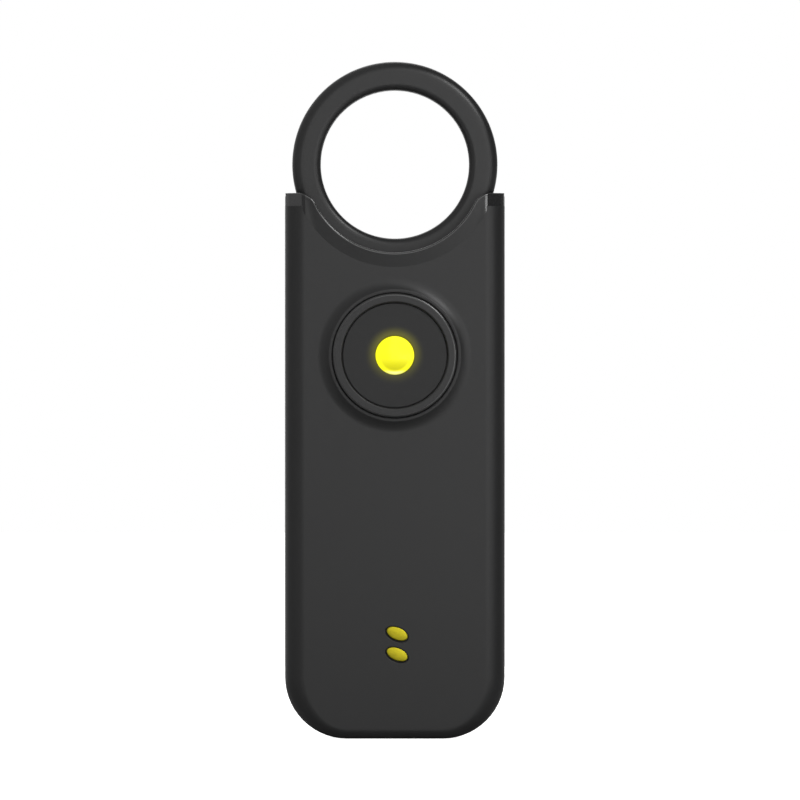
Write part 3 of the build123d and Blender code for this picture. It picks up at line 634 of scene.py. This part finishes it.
# The case's outline without its top, drawn in by an inset, from its top left down and round to its top right.
def casePath(inset, topLeft):
    size = shellSize
    half, corner, radius = size["halfWidth"] - inset, size["cornerRadius"], size["cornerRadius"] - inset
    heights = np.array([size["stepHeight"], roofEnd(), size["upperLevel"], size["rebateTop"] + hair,
                        size["rebateTop"] - hair, *size["sideLevels"]])
    heights = heights[heights <= topLeft + hair / 10]
    left = np.concatenate([np.stack([0 * heights - half, heights], 1),
                           arc((corner - size["halfWidth"], corner), radius, 180, 270, size["steps"]["corner"])])
    flat = size["halfWidth"] - corner
    return np.concatenate([left, line((-flat, inset), (flat, inset), size["steps"]["bottom"])[1:-1],
                           left[::-1] * mirror])


# Radius of the front edge's rounding along the outline: the side's down to the corner, then less by the eased power
# of the share of the corner's quarter turn, down to the bottom's.
def sideRounding(path):
    size = shellSize
    corner = size["cornerRadius"]
    turn = np.arctan2(corner - path[:, 1], np.abs(path[:, 0]) - (size["halfWidth"] - corner))
    share = np.where(path[:, 1] > corner, 0.0, np.clip(turn / (pi / 2), 0.0, 1.0))
    return size["sideRounding"] + (size["bottomRounding"] - size["sideRounding"]) * ease(share ** size["roundingPower"])


# Radius and depth from the case's face up a hollow flare, over the boss's lip and down the button's hole. The
# flare's circle leaves the face level: its radius is the sum of the squares of width and height over twice the height.
def bossProfile():
    size = shellSize
    face, top, hole, edge = size["front"], size["bossFront"], size["holeRadius"], size["bossEdge"]
    start, foot = hole + size["bossLip"], size["bossFoot"]
    width, height = foot - start, face - top
    radius = (width ** 2 + height ** 2) / (2 * height)
    lean = np.degrees(np.arcsin(width / radius))
    return chain(
        [(foot + gap, face) for gap in size["bossFootGaps"]],
        arc((foot, face - radius), radius, 90.0, 90.0 + lean, size["steps"]["flare"])[:-1],
        [(start + out, top + down) for out, down in size["bossCrest"]], (hole + edge, top),
        arc((hole + edge, top + edge), edge, 270, 180, 4),
        line((hole, top + edge + size["bossGap"]), (hole, size["innerFront"]), 4),
    )


# The slot's floor, or the roof under it, as grids on a cylinder round the ring's axis: left of the tongue's opening,
# before it and right of it. Its edge along the opening comes as well.
def slotBand(radius, front, limit):
    size, ring = shellSize, ringSize["centre"]
    middle = np.linspace(-size["openingHalf"], size["openingHalf"], size["steps"]["opening"])
    low = atan2(-((radius ** 2 - size["openingHalf"] ** 2) ** 0.5), size["openingHalf"])
    high = atan2(limit - ring, (radius ** 2 - (limit - ring) ** 2) ** 0.5)
    angle = np.linspace(low, high, size["steps"]["slot"])
    right = np.stack([radius * np.cos(angle), ring + radius * np.sin(angle)], 1)
    centre = np.stack([middle, ring - np.sqrt(radius ** 2 - middle ** 2)], 1)
    deep = [front, size["openingFront"], size["seam"]]
    return [depthGrid(right[::-1] * mirror, deep), depthGrid(centre, deep[:2]), depthGrid(right, deep)], centre


# The outside is the outline drawn in by each row's inset: along a quarter circle, the inset is the rounding's radius
# times one less the cosine, and the depth is that radius times one less the sine.
def shellOutside():
    size = shellSize
    face, seam, corner = size["front"], size["seam"], size["cornerRadius"]
    path = casePath(0.0, size["stepHeight"])
    radius = sideRounding(path)
    flat = size["halfWidth"] - corner
    away = path - np.stack([np.clip(path[:, 0], -flat, flat), np.maximum(path[:, 1], corner)], 1)
    away = away / np.linalg.norm(away, axis=1)[:, None]
    away[path[:, 1] >= corner, 1] = 0.0
    rows = [(size["rebate"], seam), (0.0, seam), (0.0, seam - size["seamBand"]),
            (0.0, face + radius + size["roundingGap"])]
    angles = np.radians(np.linspace(0.0, 90.0, size["steps"]["rounding"]))
    rows += [(radius * (1 - cos(angle)), face + radius * (1 - sin(angle))) for angle in angles]
    rows += [(radius + size["faceGap"], face), (size["border"], face)]
    grid = []
    for inset, depth in rows:
        point = path - away * (inset + 0 * radius)[:, None]
        grid.append(np.stack([point[:, 0], 0 * radius + depth, point[:, 1]], 1))
    return np.array(grid)


# The inside is the same outline at the rebate's inset and at the wall's, carried to the depth of each step.
def shellInside():
    size = shellSize
    seam, rebate, wall, end = size["seam"], size["rebate"], size["wall"], roofEnd()
    step = np.where(casePath(rebate, end)[:, 1] > size["rebateTop"], seam, seam - size["rebateDepth"])
    rows = [(rebate, seam), (rebate, step), (wall, step), (wall, size["openingFront"]), (wall, size["innerFront"])]
    grid = []
    for inset, depth in rows:
        points = casePath(inset, end)
        grid.append(np.stack([points[:, 0], 0 * step + depth, points[:, 1]], 1))
    return np.array(grid)


# Shell without its lip: the outside, the inside, the ring's slot and the tongue's opening, joined by flat parts.
# Four posts for the screws are solids of their own.
def shellSolids():
    size = shellSize
    face, seam, inner, step = size["front"], size["seam"], size["innerFront"], size["stepHeight"]
    ring = ringSize["centre"]
    slot, slotEdge = slotBand(size["slotRadius"], size["slotFront"], step)
    roof, roofEdge = slotBand(size["roofRadius"], inner, roofEnd())
    opening = [np.stack([depthGrid(edge, [size["openingFront"]])[0] for edge in (slotEdge, roofEdge)])]
    opening += [depthGrid(np.array([slotEdge[end], roofEdge[end]]), [size["openingFront"], seam]) for end in (0, -1)]
    top = size["hiddenTop"]
    corner = atan2(step - ring, -((top ** 2 - (step - ring) ** 2) ** 0.5))
    hidden = depthGrid(arc((0.0, ring), top, np.degrees(corner), -180.0 - np.degrees(corner), size["steps"]["hidden"]),
                       [face, size["slotFront"]])
    boss = revolveY(bossProfile(), buttonSize["centre"], buttonSize["turns"])
    oval = contactSize
    edges = [(growth, face + down) for growth, down in oval["holeEdge"]] + [(0.0, inner)]
    holes = [np.array([ovalRow(height, oval["holeGap"] + growth, depth, oval["holeShift"]) for growth, depth in edges])
             for height in oval["heights"].values()]
    sunk = inner - size["postSink"]
    profile = chain((0.0, sunk), (size["shelfRadius"], sunk), (size["shelfRadius"], size["shelfBack"]),
                    (size["postRadius"], size["shelfBack"]), (size["postRadius"], seam), (size["pilotRadius"], seam),
                    (size["pilotRadius"], size["pilotFront"]), (0.0, size["pilotFront"]))
    posts = [([revolveY(profile, z, size["steps"]["post"]) + np.array([x, 0.0, 0.0])],) for x, z in size["postPlaces"]]
    slotSide = (size["slotRadius"] ** 2 - (step - ring) ** 2) ** 0.5
    joins = [((size["halfWidth"] - size["border"], face), (abs(top * cos(corner)), face)),
             ((abs(top * cos(corner)), size["slotFront"]), (slotSide, size["slotFront"])),
             ((slotSide, seam), (size["halfWidth"] - size["rebate"], seam))]
    bars = [[(side * x, y, step) for x, y in join] for side in (-1, 1) for join in joins]
    planes = [(1, face), (2, step), (1, size["slotFront"]), (1, seam), (1, inner)]
    return [([shellOutside(), shellInside(), *slot, *roof, *opening, hidden, boss, *holes], planes, bars)] + posts


lipSize = {
    "halfWidth": 15.92,
    "top": 79.4,
    "notchRadius": 12.89,
    "cornerRadius": 2.8,
    "width": 2.11,
    "hidden": 1.23,  # distance from the edge at which the lip's back meets the case's top
    "front": -5.78,
    "height": 0.28,
    "edge": 0.27,
    "stripStart": 13.06,
    "stripEnd": 13.54,
    "stripTilt": 21.0,
    "stripRoughness": 0.13,
    "levelStart": 11.4,  # from here out to the strip, the slope eases to this share of the height
    "levelShare": 0.6,
    "facetTilt": 50.0,
    "facetRounding": 2.4,
    "back": -2.25,
    "backStep": 0.35,
    "leastWall": 0.05,
    "steps": {"top": 26, "bend": 44, "notch": 220, "edge": 8, "face": 26},
}


# The case's plastic with the narrow strip beside each horn polished, by distance from the middle. The strip lies
# between two even margins of the ramp's whole reach.
def lipPlastic():
    size = lipSize
    finish = Finish("lipPlastic")
    margin = 0.5
    out = finish.math("ABSOLUTE", finish.along("X", finish.place))
    share = finish.remap(out, ((size["stripStart"] - margin) * mm, (size["stripEnd"] + margin) * mm))
    start = margin / (size["stripEnd"] - size["stripStart"] + 2 * margin)
    polish = finish.ramp(share, (start - 0.04, 0.0), (start + 0.02, 1.0), (0.98 - start, 1.0), (1.04 - start, 0.0))
    slow = finish.noise(55.0)
    finish.bump(finish.noise(5200.0, 3.0), 0.003, 0.5)
    return finish.set(colour=finish.ramp(slow, (0.3, (0.0152, 0.0152, 0.0155)), (0.7, (0.0172, 0.0172, 0.0175))),
                      roughness=finish.mix(polish, finish.span(slow, 0.37, 0.43), size["stripRoughness"]))


# Depth of the lip's front at x, a distance t from its edge: the front plus a slope in t, levelled out near the horns.
# From the strip on, each bend adds the further distance times the tangent of its tilt. The facet ends in a circle
# that it touches, which gives the side's rounding.
def lipFront(x, t):
    size = lipSize
    out = np.abs(x)
    tilt = radians(size["facetTilt"])
    strip, facet = np.tan(radians(size["stripTilt"])), np.tan(tilt)
    fall = np.maximum(out - size["stripStart"], 0.0) * strip
    fall = fall + np.maximum(out - size["stripEnd"], 0.0) * (facet - strip)
    radius = size["facetRounding"]
    turnX = size["halfWidth"] - radius
    turnY = ((turnX - size["stripStart"]) * strip + np.maximum(turnX - size["stripEnd"], 0.0) * (facet - strip)
             + radius / cos(tilt))
    rounded = turnY - np.sqrt(np.maximum(radius ** 2 - np.clip(out - turnX, 0.0, radius) ** 2, 0.0))
    fall = np.where(out > turnX + radius * sin(tilt), rounded, fall)
    level = ease(np.clip((out - size["levelStart"]) / (size["stripStart"] - size["levelStart"]), 0.0, 1.0))
    slope = size["height"] * (t / size["width"] * (1 - level) + size["levelShare"] * level)
    return np.minimum(size["front"] + slope + fall, size["back"] - size["edge"] - size["leastWall"])


# The lip's section carried along the top edge: straight from the side, round a convex corner and down the notch.
# Each row lies a distance t from that edge, at right angles to it.
def lipSolid():
    size, steps = lipSize, lipSize["steps"]
    ring, notch, corner, half, top = (ringSize["centre"], size["notchRadius"], size["cornerRadius"],
                                      size["halfWidth"], size["top"])
    cornerZ = top - corner
    cornerX = ((notch + corner) ** 2 - (ring - cornerZ) ** 2) ** 0.5
    turn = np.degrees(atan2(ring - cornerZ, cornerX))
    straight = line((-half, top), (-cornerX, top), steps["top"])[:-1]
    bend = arc((-cornerX, cornerZ), corner, 90, turn, steps["bend"])[:-1]
    hollow = arc((0.0, ring), notch, 180 + turn, 360 - turn, steps["notch"])
    left = np.concatenate([straight, bend])
    leftWay = np.concatenate([0 * straight + np.array([0.0, -1.0]), (np.array([-cornerX, cornerZ]) - bend) / corner])
    points = np.concatenate([left, hollow, left[::-1] * mirror])
    way = np.concatenate([leftWay, (hollow - np.array([0.0, ring])) / notch, leftWay[::-1] * mirror])
    hidden, width, edge, step = size["hidden"], size["width"], size["edge"], size["backStep"]
    stepped = (points + way * hidden)[:, 1] < shellSize["stepHeight"]  # where the case's wall stands behind the lip

    # At the front's depth and a drop, or a share of the way from there to the back, less a step
    def row(t, drop=0.0, share=0.0, step=0.0):
        place = points + way * t
        back = size["back"] - np.where(stepped, step, 0.0)
        depth = (lipFront(place[:, 0], t) + drop) * (1 - share) + back * share
        return np.stack([place[:, 0], depth, place[:, 1]], 1)

    wall = [row(hidden, share=1.0, step=step), row(hidden, share=1.0), row(0.0, share=1.0)]
    wall += [row(0.0, edge, share) for share in (0.5, 0.05, 0.0)]
    angles = np.radians(np.linspace(0.0, 90.0, steps["edge"]))
    rounding = [row(edge * (1 - cos(angle)), edge * (1 - sin(angle))) for angle in angles]
    face = np.array([row(t) for t in np.linspace(edge, width, steps["face"])])
    close = [face[-1], row(width, share=1.0, step=step), wall[0]]
    across = np.abs(face[:-1, :-1, 0] + face[1:, 1:, 0]) / 2
    patches = [np.array(wall), (np.array(rounding), 1), (face, np.where(across > size["stripEnd"], 1, 2)),
               np.array(close)]
    return patches, [(0, -half), (0, half)]


# Block behind each end of the lip: between the slot's circle and the case's side, from the lip's back to the seam.
def hornSolids():
    half, top, ring, radius = lipSize["halfWidth"], lipSize["top"], ringSize["centre"], shellSize["slotRadius"]
    heights = np.linspace(shellSize["stepHeight"], top, shellSize["steps"]["horn"])
    inner = np.stack([np.sqrt(radius ** 2 - (heights - ring) ** 2), heights], 1)
    outline = np.concatenate([inner, [[half, top], [half, heights[0]]], inner[:1]])
    depths = [lipSize["back"], shellSize["seam"]]
    return [([depthGrid(outline * np.array([side, 1.0]), depths)], [(1, depth) for depth in depths])
            for side in (-1.0, 1.0)]


addPiece("frontShell", shellSolids() + [lipSolid()] + hornSolids(), [casePlastic, edgePlastic, lipPlastic()],
         "case", ["front_cover"])
buildContacts()
buildButton()
buildRing()
print("shell, contacts, button and ring")


view = {"frameWidth": 116.68, "lens": 600.0, "sensor": 36.0, "aim": (0.75, 0.75, 49.27)}

# Each lamp's azimuth to the right and elevation, its width and height in metres, its radiance and its shape
lamps = {
    "keyLight": ((40.0, 38.0), (0.154, 0.154), 9.0, "RECTANGLE"),
    "frontPanel": ((13.0, 8.5), (0.38, 0.80), 1.13, "ELLIPSE"),
    "lowFill": ((15.0, -6.0), (0.16, 0.16), 0.9, "RECTANGLE"),
    "edgeGlint": ((43.0, 4.0), (0.032, 0.07), 8.0, "RECTANGLE"),
    "rearPanel": ((180.0, 12.0), (0.42, 0.84), 1.35, "ELLIPSE"),
}

studio = {
    "lampDistance": 0.5,
    "lampTarget": (0.0, 0.0, 0.05),
    "leftGrey": 0.44,
    "rightGrey": 0.1,
    "sideReach": (-0.3, 0.5),
    "backGain": 0.34,
    "backReach": (0.3, 1.0),
    "floorSize": 6.0,
    "floorShown": 0.8,
    "floorGrey": 0.37,  # to the light, under the object and before it
    "paleGrey": 0.85,  # to the light, further out
    "patchPlace": (-0.03, -0.14, 0.0),
    "patchSize": (0.075, 0.17, 1.0),
    "patchFade": (0.7, 1.3),  # in shares of the patch's size
    "stripFade": (0.05, 0.13),
}


# A lamp faces the object from its direction: x is the sine of the azimuth times the cosine of the elevation, and y is
# less their cosines' product. Its power is radiance times area times pi.
def addLamp(name, direction, size, radiance, shape):
    azimuth, elevation = (radians(value) for value in direction)
    data = bpy.data.lights.new(name, "AREA")
    data.shape = shape
    data.size, data.size_y = size
    data.energy = radiance * size[0] * size[1] * pi * (pi / 4 if shape == "ELLIPSE" else 1.0)
    lamp = bpy.data.objects.new(name, data)
    bpy.context.scene.collection.objects.link(lamp)
    way = Vector((sin(azimuth) * cos(elevation), -cos(azimuth) * cos(elevation), sin(elevation)))
    lamp.location = Vector(studio["lampTarget"]) + way * studio["lampDistance"]
    lamp.rotation_euler = (-way).to_track_quat("-Z", "Y").to_euler()
    lamp.visible_camera = False


# White to the camera. To the light, a grey that eases from left to right, plus a gain that eases in at the back.
def addWorld():
    world = bpy.data.worlds.new("studio")
    bpy.context.scene.world = world
    world.use_nodes = True
    tree = NodeTree(world.node_tree)
    place = tree.add("ShaderNodeTexCoord").outputs["Generated"]
    greys = (studio["leftGrey"], studio["rightGrey"])
    side = tree.remap(tree.along("X", place), studio["sideReach"], greys, "SMOOTHSTEP")
    rear = tree.remap(tree.along("Y", place), studio["backReach"], (0.0, studio["backGain"]), "SMOOTHSTEP")
    camera = tree.add("ShaderNodeLightPath").outputs["Is Camera Ray"]
    tree.links.new(tree.mix(camera, tree.math("ADD", rear, side), 1.0), tree.nodes["Background"].inputs["Color"])


# White to the camera. To the light, a darker patch before the object, an ellipse that eases out by the length of the
# offset over its size, and a darker strip to both sides, which eases out by distance before and behind.
def addFloor():
    bpy.ops.mesh.primitive_plane_add(size=studio["floorSize"], location=(0.0, 0.0, 0.0))
    floor = bpy.context.object
    floor.name = "floor"
    finish = Finish("paper")
    offset = finish.vector("SUBTRACT", finish.place, studio["patchPlace"])
    away = finish.vector("LENGTH", finish.vector("DIVIDE", offset, studio["patchSize"]), result="Value")
    patch = finish.remap(away, studio["patchFade"], curve="SMOOTHSTEP")
    beside = finish.math("ABSOLUTE", finish.along("Y", finish.place))
    pale = finish.remap(beside, studio["stripFade"], (0.0, patch), "SMOOTHSTEP")
    camera = finish.add("ShaderNodeLightPath").outputs["Is Camera Ray"]
    tone = finish.mix(camera, finish.mix(pale, studio["floorGrey"], studio["paleGrey"]), studio["floorShown"])
    floor.data.materials.append(finish.set(colour=tone, roughness=0.9, glow=(1.0, 1.0, 1.0), glowStrength=camera))


# The camera stands straight in front, as far off as makes the frame's width fill the sensor through the lens.
def addCamera():
    data = bpy.data.cameras.new("camera")
    camera = bpy.data.objects.new("camera", data)
    bpy.context.scene.collection.objects.link(camera)
    bpy.context.scene.camera = camera
    data.lens, data.sensor_width = view["lens"], view["sensor"]
    data.clip_end = 20.0
    distance = view["lens"] / view["sensor"] * view["frameWidth"] * mm
    camera.location = Vector(view["aim"]) * mm + Vector((0.0, -distance, 0.0))
    camera.rotation_euler = (pi / 2, 0.0, 0.0)


for name, lamp in lamps.items():
    addLamp(name, *lamp)
addWorld()
addFloor()
addCamera()
bpy.context.scene.view_settings.view_transform = "Standard"
print("studio")
